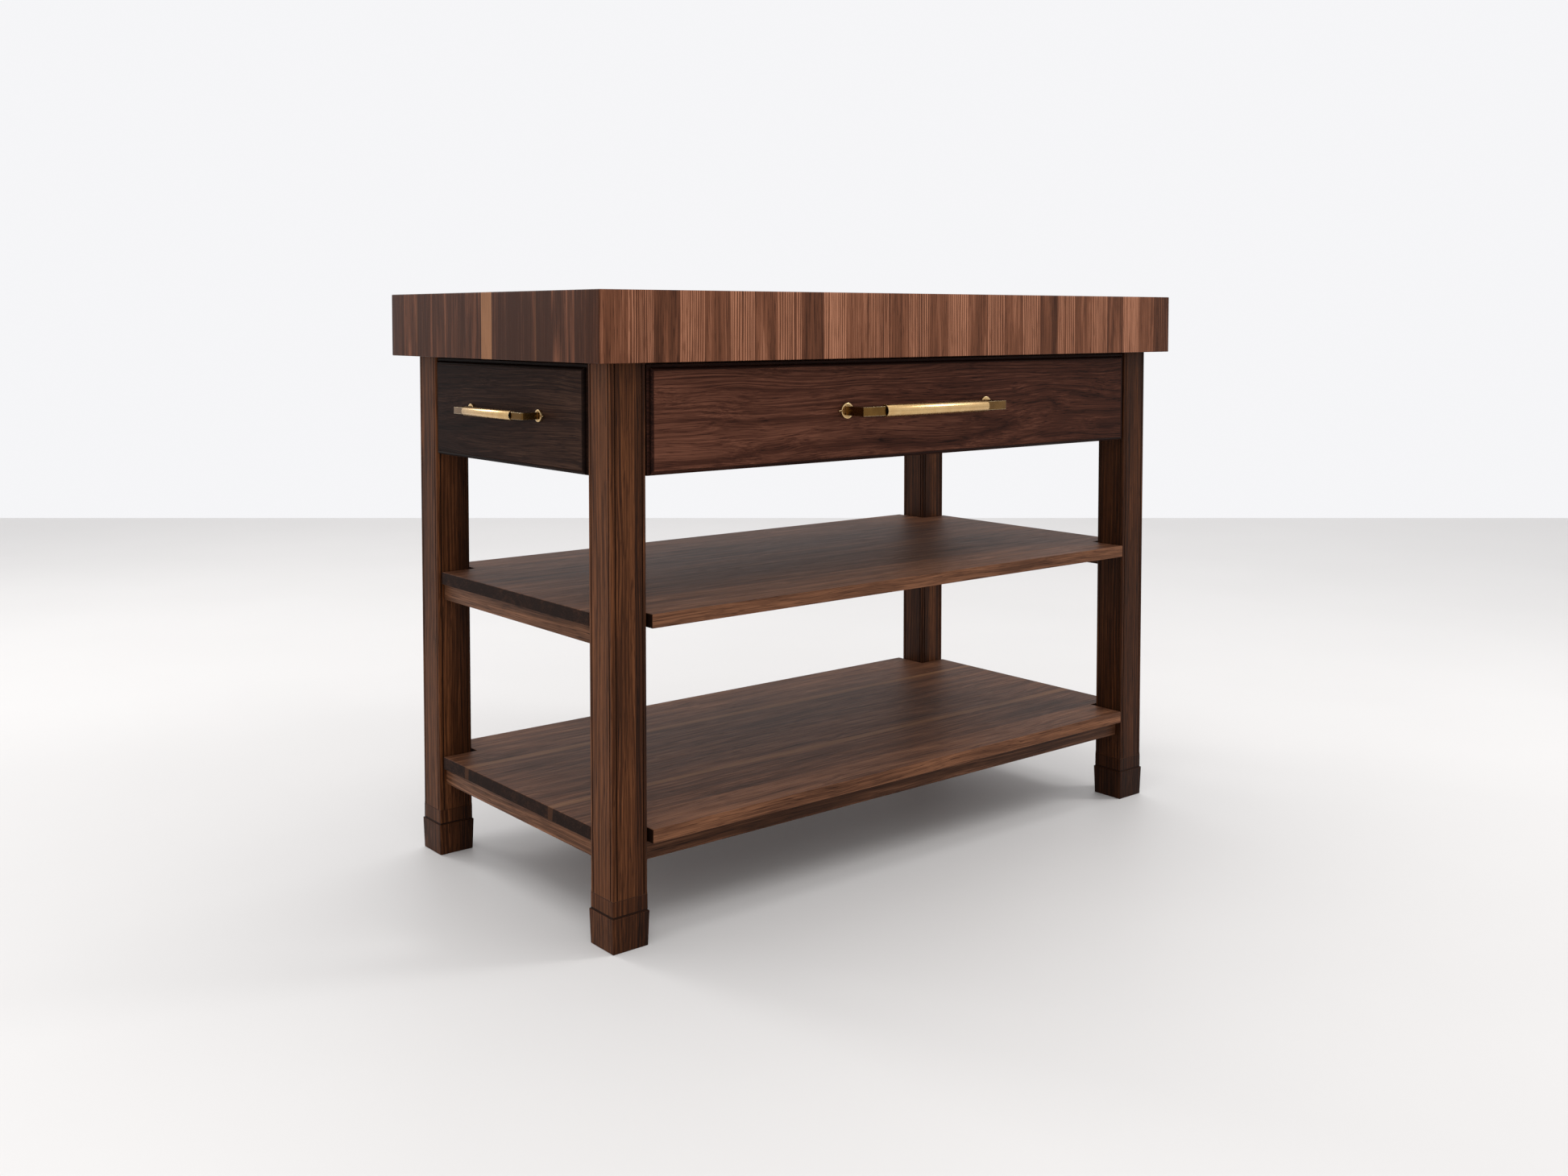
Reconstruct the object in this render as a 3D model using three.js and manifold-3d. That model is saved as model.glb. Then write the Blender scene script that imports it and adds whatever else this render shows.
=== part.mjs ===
// Butcher block table: an end-grain block on four square legs, with one drawer in the front, one in the
// left end, and two notched shelves on tenoned rails. Millimetres, +Z up, front towards -Y.
//
// Everything is laid out about the middle of the block on the floor. The last line moves the whole table so
// that the origin is on the floor under the middle of its overall box, pulls included.

import * as THREE from 'three';
import { mergeVertices } from 'three/addons/utils/BufferGeometryUtils.js';
import Module from 'manifold-3d';

const wasm = await Module();
wasm.setup();

// ---------------------------------------------------------------- driving sizes

const tableHeight = 914;
const gap = 0.3; // between pieces that touch

// End-grain block.
const blockLength = 1220;
const blockDepth = 625;
const blockThickness = 99;
const blockOverhangEnd = 34.5; // past the legs' outer faces, at the ends
const blockOverhangFront = 27; // and at the front and back

// Legs: a square shaft with a stopped bead on each corner, a plain collar, and a tapered foot.
const legWidth = 57.5;
const footHeight = 50;
const footTopWidth = 61;
const footBottomWidth = 58;
const collarHeight = 24;
const beadSetback = 6.6; // corner of the leg to the middle of the groove beside the bead
const beadGrooveWidth = 1.6;
const beadGrooveDepth = 1.4;
const beadRadius = 2.4;
const beadSteps = 3;

// Aprons and rails between the legs.
const boardThickness = 22;
const railThickness = 20;
const railSetback = 11; // outer face of an apron or rail behind the legs' outer faces
const topRailInsideLeg = 4.3; // inner edge of a top rail to the legs' inner faces
const topRailThickness = 17.5;
const tenonLength = 18;
const topTenonLength = 7; // short, because two top rails meet in one leg
const tenonShoulder = 5; // the tenon is this much smaller than its rail on each side
const tenonClearance = 0.3;
const cutPast = 1; // a cut runs this far past the face it opens
const cleatWidth = 20;
const cleatShorter = 60; // a cleat is this much shorter than its apron, at each end

// Shelves.
const shelfThickness = 20;
const middleShelfTop = 466;
const lowerShelfTop = 163.5;
const shelfRailHeight = 26;
const shelfPastLegs = 5.5; // front and back edges stand past the legs' faces
const shelfInsideLegs = 4; // ends stop short of the legs' outer faces
const shelfNotchClearance = 6;

// Drawer fronts: a raised field, a quarter-round moulding and a flat fillet round it.
const frontHeight = 154;
const frontGap = 3; // to the block and to the legs
const fieldProud = 2.4; // field past the legs' outer faces
const mouldingRadius = 4.6;
const mouldingSteps = 4;
const filletWidth = 4; // at the top and the ends
const filletWidthBottom = 0.8;
const frontPlateThickness = 18; // behind the moulding

// Drawer boxes and the frame that carries them.
const boxThickness = 15;
const boxBelowTopRail = 12;
const boxAboveFront = 14.2; // lower edge of the box above the lower edge of its front
const bottomThickness = 6;
const bottomRaise = 8; // lower edge of the sides to the underside of the bottom
const grooveDepth = 6;
const endDrawerDepth = 315; // length of the end drawer's sides
const frontBoxClearance = 27.5; // back of the front drawer's box to the back apron
const dividerThickness = 20;
const dividerBehindBox = 13; // back of the end drawer's box to the divider
const innerFrameBelowBox = 4.3; // lower edge of the rail and the divider that carry the slides

// Telescopic slides, each a fixed, a middle and a drawer member.
const slideThickness = 13;
const slideHeight = 45;
const slideSheet = 1.5;
const slideNest = 2.6; // each member sits inside the last by this much, all round
const slideFlangeGap = 4; // height taken by a row of balls and a flange
const frontSlideShorter = 40; // slides than the front drawer's sides
const endSlideShorter = 65;
const slideSetback = 2; // end of the fixed member behind the legs' inner faces

// Pulls: a flat bar bent to a U, a round grip sleeve, and a rose and a screw at each post.
const frontPull = {
    centres: 304.8, barHeight: 14, barDepth: 8, reach: 45, gripRadius: 9.6, gripWall: 1.2, gripLength: 221,
    roseRadius: 12.2, roseThickness: 4, screwRadius: 2, sides: 28,
};
const endPull = {
    centres: 203.2, barHeight: 10.4, barDepth: 6, reach: 30, gripRadius: 7.1, gripWall: 0.75, gripLength: 142,
    roseRadius: 9.2, roseThickness: 3, screwRadius: 1.6, sides: 24,
};
const roseEase = 1; // rounding of a rose's rim
const gripEase = 0.35; // and of the grip's ends
const postCornerRadius = 2;
const screwClearance = 0.35;
const screwBite = 10; // into the post
const screwHeadHeight = 2.4;
const screwHeadFlare = 2.2; // head's radius over the screw's
const screwCrownFlare = 1.6; // and its flat crown's
const screwSides = 16;

// ---------------------------------------------------------------- finishes

const finish = (color, roughness, metalness = 0) => ({ color, roughness, metalness });
const WALNUT_BLOCK = finish('#6b4632', 0.55);
const WALNUT_LEG = finish('#5d4030', 0.5);
const WALNUT_RAIL = finish('#6d4c38', 0.5);
const WALNUT_FRONT = finish('#4a3028', 0.45);
const WALNUT_SHELF = finish('#654a3d', 0.45);
const MAPLE = finish('#c7a878', 0.55);
const BRASS = finish('#c79f52', 0.3, 1);
const ZINC_STEEL = finish('#b4b8bc', 0.35, 1);

// ---------------------------------------------------------------- shape helpers

const layout = new THREE.Group();

function place(name, geometry, look, position = [0, 0, 0]) {
    const mesh = new THREE.Mesh(geometry, new THREE.MeshStandardMaterial(look));
    mesh.name = name;
    mesh.position.set(...position);
    layout.add(mesh);
    return mesh;
}

// A box from its lowest to its highest corner.
function boxBetween([x0, y0, z0], [x1, y1, z1]) {
    return new THREE.BoxGeometry(x1 - x0, y1 - y0, z1 - z0)
        .translate((x0 + x1) / 2, (y0 + y1) / 2, (z0 + z1) / 2);
}

const grown = ([low, high], by) => [low.map(v => v - by), high.map(v => v + by)];

// A closed geometry as a manifold solid, so that it can be joined or cut.
function solid(geometry) {
    const bare = geometry.clone();
    bare.deleteAttribute('normal');
    bare.deleteAttribute('uv');
    const merged = mergeVertices(bare, 1e-4);
    return new wasm.Manifold(new wasm.Mesh({
        numProp: 3,
        vertProperties: new Float32Array(merged.attributes.position.array),
        triVerts: new Uint32Array(merged.index.array),
    }));
}

function fromSolid(body) {
    const mesh = body.getMesh();
    const geometry = new THREE.BufferGeometry();
    geometry.setAttribute('position', new THREE.BufferAttribute(new Float32Array(mesh.vertProperties), 3));
    geometry.setIndex(new THREE.BufferAttribute(new Uint32Array(mesh.triVerts), 1));
    geometry.computeVertexNormals();
    return geometry;
}

// The base with the additions joined on and the cuts taken out.
function shaped(base, additions, cuts) {
    let body = solid(base);
    for (const piece of additions) body = body.add(solid(piece));
    for (const piece of cuts) body = body.subtract(solid(piece));
    return fromSolid(body);
}

// ---------------------------------------------------------------- places shared by several pieces

const blockUnderside = tableHeight - blockThickness;
const frameTop = blockUnderside - gap;
const legOuterX = blockLength / 2 - blockOverhangEnd;
const legOuterY = blockDepth / 2 - blockOverhangFront;
const legInnerX = legOuterX - legWidth;
const legInnerY = legOuterY - legWidth;
const legCentreX = legOuterX - legWidth / 2;
const legCentreY = legOuterY - legWidth / 2;

const frontTop = blockUnderside - frontGap;
const frontBottom = frontTop - frontHeight;
const frontBack = mouldingRadius + frontPlateThickness - fieldProud; // behind the legs' outer faces
const pullHeight = (frontTop + frontBottom) / 2;

const topRailBottom = frameTop - topRailThickness;
const topRailFace = frontBack + frontGap; // behind the legs' outer faces
const topRailWidth = legWidth - topRailFace - topRailInsideLeg;
const boxTop = topRailBottom - boxBelowTopRail;
const boxBottom = frontBottom + boxAboveFront;
const slideMiddle = (boxTop + boxBottom) / 2;

const frontDrawerDepth = legOuterY - railSetback - boardThickness - frontBoxClearance
    + legOuterY - frontBack - gap;
const endBoxBack = -legOuterX + frontBack + gap + endDrawerDepth;
const dividerLeft = endBoxBack + dividerBehindBox;
const dividerRight = dividerLeft + dividerThickness;
const mountY = legInnerY - gap; // the end drawer's slides are fixed at -mountY and +mountY
const mountX = legInnerX - gap; // the front drawer's right slide is fixed at +mountX

// ---------------------------------------------------------------- rails and their tenons

const tenons = [];

// A rail along X or Y with a thinner, lower tenon at each end, reaching into the legs.
function tenonedRail(name, look, low, high, along, reach = tenonLength) {
    const tenonLow = [...low];
    const tenonHigh = [...high];
    for (const axis of [0, 1, 2]) {
        const grow = axis === along ? reach : -tenonShoulder;
        tenonLow[axis] -= grow;
        tenonHigh[axis] += grow;
    }
    tenons.push([tenonLow, tenonHigh]);
    place(name, shaped(boxBetween(low, high), [boxBetween(tenonLow, tenonHigh)], []), look);
}

const shoulderX = legInnerX - gap;
const shoulderY = legInnerY - gap;
const apronOuterX = legOuterX - railSetback;
const apronOuterY = legOuterY - railSetback;
const apronInnerX = apronOuterX - boardThickness;
const apronInnerY = apronOuterY - boardThickness;

tenonedRail('back_apron', WALNUT_RAIL,
    [-shoulderX, apronInnerY, frontBottom], [shoulderX, apronOuterY, frameTop], 0);
tenonedRail('right_apron', WALNUT_RAIL,
    [apronInnerX, -shoulderY, frontBottom], [apronOuterX, shoulderY, frameTop], 1);
tenonedRail('front_top_rail', WALNUT_RAIL,
    [-shoulderX, -legOuterY + topRailFace, topRailBottom],
    [shoulderX, -legOuterY + topRailFace + topRailWidth, frameTop], 0, topTenonLength);
tenonedRail('left_top_rail', WALNUT_RAIL,
    [-legOuterX + topRailFace, -shoulderY, topRailBottom],
    [-legOuterX + topRailFace + topRailWidth, shoulderY, frameTop], 1, topTenonLength);

for (const [level, top] of [['middle', middleShelfTop], ['lower', lowerShelfTop]]) {
    const railTop = top - shelfThickness - gap;
    for (const [side, inner] of [['left', -apronOuterX], ['right', apronOuterX - railThickness]]) {
        tenonedRail(`${level}_end_rail_${side}`, WALNUT_RAIL,
            [inner, -shoulderY, railTop - shelfRailHeight], [inner + railThickness, shoulderY, railTop], 1);
    }
}
for (const [side, inner] of [['front', -apronOuterY], ['back', apronOuterY - railThickness]]) {
    const railTop = lowerShelfTop - shelfThickness - gap;
    tenonedRail(`lower_${side}_rail`, WALNUT_RAIL,
        [-shoulderX, inner, railTop - shelfRailHeight], [shoulderX, inner + railThickness, railTop], 0);
}

// ---------------------------------------------------------------- block and legs

place('butcher_block_top', boxBetween(
    [-blockLength / 2, -blockDepth / 2, blockUnderside], [blockLength / 2, blockDepth / 2, tableHeight],
), WALNUT_BLOCK);

// Section of the beaded shaft: a square whose corners are rounded between two V grooves.
function shaftSection() {
    const half = legWidth / 2;
    const grooveNear = beadSetback - beadGrooveWidth / 2;
    const grooveFar = beadSetback + beadGrooveWidth / 2;
    const corner = [
        [half, half - grooveFar], [half - beadGrooveDepth, half - beadSetback], [half, half - grooveNear],
    ];
    for (let step = 0; step <= beadSteps; step += 1) {
        const angle = (step / beadSteps) * Math.PI / 2;
        const centre = half - beadRadius;
        corner.push([centre + beadRadius * Math.cos(angle), centre + beadRadius * Math.sin(angle)]);
    }
    corner.push(
        [half - grooveNear, half], [half - beadSetback, half - beadGrooveDepth], [half - grooveFar, half],
    );
    const outline = [];
    for (let turn = 0; turn < 4; turn += 1) {
        for (const [x, y] of corner) {
            outline.push(new THREE.Vector2(x, y).rotateAround(new THREE.Vector2(), turn * Math.PI / 2));
        }
    }
    return new THREE.Shape(outline);
}

// A square frustum standing on z = 0.
function squareFrustum(bottomWidth, topWidth, height) {
    return new THREE.CylinderGeometry(topWidth / Math.SQRT2, bottomWidth / Math.SQRT2, height, 4)
        .rotateY(Math.PI / 4).rotateX(Math.PI / 2).translate(0, 0, height / 2);
}

const beadStop = footHeight + collarHeight;
const legBase = new THREE.ExtrudeGeometry(shaftSection(), { depth: frameTop - beadStop, bevelEnabled: false })
    .translate(0, 0, beadStop);
const collar = new THREE.BoxGeometry(legWidth, legWidth, beadStop - footHeight / 2)
    .translate(0, 0, (beadStop + footHeight / 2) / 2);
const foot = squareFrustum(footBottomWidth, footTopWidth, footHeight);

for (const [depthWord, sy] of [['front', -1], ['back', 1]]) {
    for (const [sideWord, sx] of [['left', -1], ['right', 1]]) {
        const centre = [sx * legCentreX, sy * legCentreY, 0];
        const mortises = tenons.map(tenon => boxBetween(...grown(tenon, tenonClearance))
            .translate(-centre[0], -centre[1], 0));
        place(`leg_${depthWord}_${sideWord}`, shaped(legBase, [collar, foot], mortises), WALNUT_LEG, centre);
    }
}

// ---------------------------------------------------------------- shelves

// A panel with its corners cut away round the legs.
function notchedPanel(thickness) {
    const endX = legOuterX - shelfInsideLegs;
    const edgeY = legOuterY + shelfPastLegs;
    const notchX = legInnerX - shelfNotchClearance;
    const notchY = legInnerY - shelfNotchClearance;
    const quarter = [[endX, notchY], [notchX, notchY], [notchX, edgeY]];
    const outline = [];
    for (const [sx, sy] of [[1, 1], [-1, 1], [-1, -1], [1, -1]]) {
        const points = quarter.map(([x, y]) => new THREE.Vector2(sx * x, sy * y));
        outline.push(...(sx === sy ? points : points.reverse()));
    }
    return new THREE.ExtrudeGeometry(new THREE.Shape(outline), { depth: thickness, bevelEnabled: false });
}

for (const [name, top] of [['middle_shelf', middleShelfTop], ['lower_shelf', lowerShelfTop]]) {
    place(name, notchedPanel(shelfThickness), WALNUT_SHELF, [0, 0, top - shelfThickness]);
}

// ---------------------------------------------------------------- frame behind the drawer fronts

const innerFrameTop = topRailBottom - gap;
const innerFrameBottom = boxBottom - innerFrameBelowBox;

place('divider_panel', boxBetween(
    [dividerLeft, -legOuterY + topRailFace, innerFrameBottom],
    [dividerRight, apronInnerY - gap, innerFrameTop],
), WALNUT_RAIL);
place('inner_front_rail', boxBetween(
    [-legInnerX + gap, -mountY - railThickness, innerFrameBottom],
    [dividerLeft - gap, -mountY, innerFrameTop],
), WALNUT_RAIL);
place('back_packer', boxBetween(
    [-legInnerX + gap, mountY, boxBottom], [dividerLeft - gap, apronInnerY - gap, boxTop],
), WALNUT_RAIL);
place('right_packer', boxBetween(
    [mountX, -legInnerY + gap, boxBottom], [apronInnerX - gap, legInnerY - gap, boxTop],
), WALNUT_RAIL);
place('back_top_cleat', boxBetween(
    [dividerRight + cleatShorter, apronInnerY - gap - cleatWidth, frameTop - topRailThickness],
    [legInnerX - cleatShorter, apronInnerY - gap, frameTop],
), WALNUT_RAIL);
place('right_top_cleat', boxBetween(
    [apronInnerX - gap - cleatWidth, -legInnerY + cleatShorter, frameTop - topRailThickness],
    [apronInnerX - gap, legInnerY - cleatShorter, frameTop],
), WALNUT_RAIL);

// ---------------------------------------------------------------- drawers
//
// A drawer is drawn in its own frame: X across its front from left to right as its user sees it, Y from the
// legs' outer face inwards, and Z up from the floor. A nested group turns it to face its side of the table.

// A slide member: a channel of bent sheet along Y, nested by its number, its web towards the carcass for the
// first two members and towards the drawer for the third. Side is -1 on the left of a drawer.
function slideMember(number, side, planeX, startY, length) {
    const halfHeight = slideHeight / 2 - slideFlangeGap * number;
    const facesDrawer = number === 2;
    const near = gap + slideNest * number;
    const far = facesDrawer ? slideThickness - gap : slideThickness - slideNest / 2;
    const web = facesDrawer ? [far - slideSheet, far] : [near, near + slideSheet];
    const open = facesDrawer ? [near - cutPast, web[0]] : [web[1], far + cutPast];
    const range = ([a, b], low, high, y0, y1) => {
        const xs = [planeX - side * a, planeX - side * b].sort((p, q) => p - q);
        return boxBetween([xs[0], y0, low], [xs[1], y1, high]);
    };
    const top = slideMiddle + halfHeight;
    const bottom = slideMiddle - halfHeight;
    return shaped(
        range([near, far], bottom, top, startY, startY + length), [],
        [range(open, bottom + slideSheet, top - slideSheet, startY - cutPast, startY + length + cutPast)],
    );
}

// A ring or a disc turned about Z from a half section.
const turned = (points, sides) =>
    new THREE.LatheGeometry(points.map(([r, z]) => new THREE.Vector2(r, z)), sides).rotateX(Math.PI / 2);

// A rose: a disc with an eased rim and a hole for the screw, its back at z = 0.
function rose(pull) {
    const hole = pull.screwRadius + screwClearance;
    return turned([
        [hole, 0], [pull.roseRadius, 0], [pull.roseRadius, pull.roseThickness - roseEase],
        [pull.roseRadius - roseEase, pull.roseThickness], [hole, pull.roseThickness], [hole, 0],
    ], pull.sides);
}

// A round-headed machine screw along Z, its head above z = 0 and its point at -length.
function screw(radius, length) {
    const [head, crown] = [radius * screwHeadFlare, radius * screwCrownFlare];
    return turned([
        [0, -length], [radius, -length], [radius, 0], [head, 0],
        [head, screwHeadHeight / 2], [crown, screwHeadHeight], [0, screwHeadHeight],
    ], screwSides);
}

// The bar and its two posts: a U in plan with rounded outer corners, drilled at the posts' feet.
function pullBar(pull) {
    const halfLength = pull.centres / 2 + pull.barDepth / 2;
    const inner = pull.centres / 2 - pull.barDepth / 2;
    const foot = pull.roseThickness + gap;
    const front = pull.reach;
    const r = postCornerRadius;
    const outline = new THREE.Shape();
    outline.moveTo(-halfLength, foot);
    outline.lineTo(-inner, foot);
    outline.lineTo(-inner, front - pull.barDepth);
    outline.lineTo(inner, front - pull.barDepth);
    outline.lineTo(inner, foot);
    outline.lineTo(halfLength, foot);
    outline.lineTo(halfLength, front - r);
    outline.absarc(halfLength - r, front - r, r, 0, Math.PI / 2);
    outline.lineTo(-halfLength + r, front);
    outline.absarc(-halfLength + r, front - r, r, Math.PI / 2, Math.PI);
    outline.closePath();
    const bar = new THREE.ExtrudeGeometry(outline, {
        depth: pull.barHeight, bevelEnabled: false, curveSegments: 3,
    }).translate(0, 0, -pull.barHeight / 2);
    const holeRadius = pull.screwRadius + screwClearance;
    const drill = new THREE.CylinderGeometry(holeRadius, holeRadius, screwBite + 2 * gap, screwSides)
        .translate(0, foot + screwBite / 2, 0);
    const holes = [-1, 1].map(side => drill.clone().translate(side * pull.centres / 2, 0, 0));
    return shaped(bar, [], holes).rotateX(Math.PI);
}

// The grip: a tube over the bar, along X.
function gripSleeve(pull) {
    const r = pull.gripRadius;
    const hole = r - pull.gripWall;
    const half = pull.gripLength / 2;
    return turned([
        [hole, -half], [r - gripEase, -half], [r, -half + gripEase],
        [r, half - gripEase], [r - gripEase, half], [hole, half], [hole, -half],
    ], pull.sides).rotateY(Math.PI / 2);
}

// One drawer: its moulded front, box, slides and pull. The box runs from boxLeft to boxRight.
function drawer(name, turn, halfOpening, outerFace, sizes, pull) {
    const group = new THREE.Group();
    group.rotation.z = turn;
    layout.add(group);
    const face = -outerFace; // the legs' outer faces, in the drawer's frame
    const add = (part, geometry, look) => {
        const mesh = place(`${name}_${part}`, geometry, look);
        group.add(mesh);
        return mesh;
    };

    const { boxLeft, boxRight, boxDepth, slideLength, slideStart } = sizes;
    const fieldY = face - fieldProud;
    const plateFrontY = fieldY + mouldingRadius;
    const plateBackY = face + frontBack;
    const boxFrontY = plateBackY + gap;
    const boxBackY = boxFrontY + boxDepth;

    // Moulded front.
    const plateHalf = halfOpening - frontGap;
    const fieldHalf = plateHalf - filletWidth - mouldingRadius;
    const fieldTop = frontTop - filletWidth - mouldingRadius;
    const fieldBottom = frontBottom + filletWidthBottom + mouldingRadius;
    const plate = boxBetween([-plateHalf, plateFrontY, frontBottom], [plateHalf, plateBackY, frontTop]);
    const field = new THREE.Shape();
    field.moveTo(-fieldHalf, fieldBottom);
    field.lineTo(fieldHalf, fieldBottom);
    field.lineTo(fieldHalf, fieldTop);
    field.lineTo(-fieldHalf, fieldTop);
    field.closePath();
    const raised = new THREE.ExtrudeGeometry(field, {
        depth: mouldingRadius, bevelThickness: mouldingRadius, bevelSize: mouldingRadius,
        bevelSegments: mouldingSteps,
    }).rotateX(Math.PI / 2).translate(0, fieldY + 2 * mouldingRadius, 0);
    const holeRadius = pull.screwRadius + screwClearance;
    const drillLength = 2 * (plateBackY - fieldY + boxThickness + cutPast);
    const drill = new THREE.CylinderGeometry(holeRadius, holeRadius, drillLength, screwSides);
    const holes = [-1, 1].map(side => (
        drill.clone().translate(side * pull.centres / 2, plateBackY, pullHeight)));
    add('front', shaped(plate, [raised], holes), WALNUT_FRONT);

    // Box of four boards grooved for the bottom.
    const panelLow = boxBottom + bottomRaise;
    const inset = boxThickness - grooveDepth;
    const panel = [
        [boxLeft + inset, boxFrontY + inset, panelLow],
        [boxRight - inset, boxBackY - inset, panelLow + bottomThickness],
    ];
    const groove = boxBetween(...grown(panel, gap));
    const board = (part, low, high, cuts = []) =>
        add(part, shaped(boxBetween(low, high), [], [groove, ...cuts]), MAPLE);
    board('side_left', [boxLeft, boxFrontY, boxBottom], [boxLeft + boxThickness, boxBackY, boxTop]);
    board('side_right', [boxRight - boxThickness, boxFrontY, boxBottom], [boxRight, boxBackY, boxTop]);
    const [left, right] = [boxLeft + boxThickness + gap, boxRight - boxThickness - gap];
    board('subfront', [left, boxFrontY, boxBottom], [right, boxFrontY + boxThickness, boxTop], holes);
    board('back', [left, boxBackY - boxThickness, boxBottom], [right, boxBackY, boxTop]);
    add('bottom', boxBetween(...panel), MAPLE);

    // Slides.
    const slideNames = ['slide_fixed', 'slide_middle', 'slide_drawer'];
    for (const [word, side, planeX] of [
        ['left', -1, boxLeft - slideThickness], ['right', 1, boxRight + slideThickness],
    ]) {
        for (const [number, part] of slideNames.entries()) {
            add(`${part}_${word}`, slideMember(number, side, planeX, slideStart, slideLength), ZINC_STEEL);
        }
    }

    // Pull.
    add('pull_bar', pullBar(pull), BRASS).position.set(0, fieldY - gap, pullHeight);
    add('pull_grip', gripSleeve(pull), BRASS)
        .position.set(0, fieldY - gap - pull.reach + pull.barDepth / 2, pullHeight);
    const screwLength = boxThickness + gap + (plateBackY - fieldY) + gap + pull.roseThickness + screwBite;
    for (const [word, side] of [['left', -1], ['right', 1]]) {
        const x = side * pull.centres / 2;
        const post = add(`pull_rose_${word}`, rose(pull), BRASS);
        post.rotation.x = Math.PI / 2;
        post.position.set(x, fieldY - gap, pullHeight);
        const pin = add(`pull_screw_${word}`, screw(pull.screwRadius, screwLength), ZINC_STEEL);
        pin.rotation.x = -Math.PI / 2;
        pin.position.set(x, boxFrontY + boxThickness + gap, pullHeight);
    }
}

drawer('front_drawer', 0, legInnerX, legOuterY, {
    boxLeft: dividerRight + slideThickness,
    boxRight: mountX - slideThickness,
    boxDepth: frontDrawerDepth,
    slideLength: frontDrawerDepth - frontSlideShorter,
    slideStart: -legInnerY + slideSetback,
}, frontPull);
drawer('end_drawer', -Math.PI / 2, legInnerY, legOuterX, {
    boxLeft: -mountY + slideThickness,
    boxRight: mountY - slideThickness,
    boxDepth: endDrawerDepth,
    slideLength: endDrawerDepth - endSlideShorter,
    slideStart: -legInnerX + slideSetback,
}, endPull);

// ---------------------------------------------------------------- origin

const gripReach = pull => fieldProud + gap + pull.reach - pull.barDepth / 2 + pull.gripRadius;
const leftReach = Math.max(blockLength / 2, legOuterX + gripReach(endPull));
const frontReach = Math.max(blockDepth / 2, legOuterY + gripReach(frontPull));

const table = new THREE.Group();
layout.position.set((leftReach - blockLength / 2) / 2, (frontReach - blockDepth / 2) / 2, 0);
table.add(layout);

export default table;
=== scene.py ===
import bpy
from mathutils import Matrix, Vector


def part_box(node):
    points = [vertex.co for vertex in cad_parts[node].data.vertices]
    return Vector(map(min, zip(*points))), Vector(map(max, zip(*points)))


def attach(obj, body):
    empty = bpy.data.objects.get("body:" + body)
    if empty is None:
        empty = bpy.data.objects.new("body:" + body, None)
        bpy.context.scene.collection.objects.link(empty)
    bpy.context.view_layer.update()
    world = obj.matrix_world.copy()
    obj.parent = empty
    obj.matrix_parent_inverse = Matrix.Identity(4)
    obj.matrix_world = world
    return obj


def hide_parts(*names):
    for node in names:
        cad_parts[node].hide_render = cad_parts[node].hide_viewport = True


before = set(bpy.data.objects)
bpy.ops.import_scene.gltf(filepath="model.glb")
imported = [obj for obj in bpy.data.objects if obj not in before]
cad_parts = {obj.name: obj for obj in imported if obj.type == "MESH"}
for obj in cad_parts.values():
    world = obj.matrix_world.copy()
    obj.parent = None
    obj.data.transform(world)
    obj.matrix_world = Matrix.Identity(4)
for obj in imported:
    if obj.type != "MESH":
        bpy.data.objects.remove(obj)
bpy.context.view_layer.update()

# Butcher block table: what its surfaces look like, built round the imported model. Metres, +Z up, front to -Y.

import math

import bpy
import numpy as np

# ---------------------------------------------------------------- the end-grain block
# Walnut staves stood on end and glued up in rows, with every second row set half a stave along. The top is end
# grain and the sides show the staves' long grain, sawn the other way in each neighbour. The arrises are eased
# and the block is oiled, so light growth lines stand out on the rift-sawn staves.

MM = 0.001


def linear(hex_colour):
    """sRGB hex to linear RGBA: c/12.92 below 0.04045, and ((c + 0.055)/1.055)^2.4 above."""
    parts = [int(hex_colour[i:i + 2], 16) / 255 for i in (1, 3, 5)]
    return [c / 12.92 if c <= 0.04045 else ((c + 0.055) / 1.055) ** 2.4 for c in parts] + [1.0]


def node(tree, kind, inputs=None, output=0, **settings):
    """Adds a shader node with its settings, feeds its inputs from values or sockets, returns one output."""
    made = tree.nodes.new("ShaderNode" + kind)
    for name, value in settings.items():
        setattr(made, name, value)
    for key, value in (inputs or {}).items():
        if isinstance(value, bpy.types.NodeSocket):
            tree.links.new(value, made.inputs[key])
        else:
            made.inputs[key].default_value = value
    return made.outputs[output] if made.outputs else None


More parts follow.
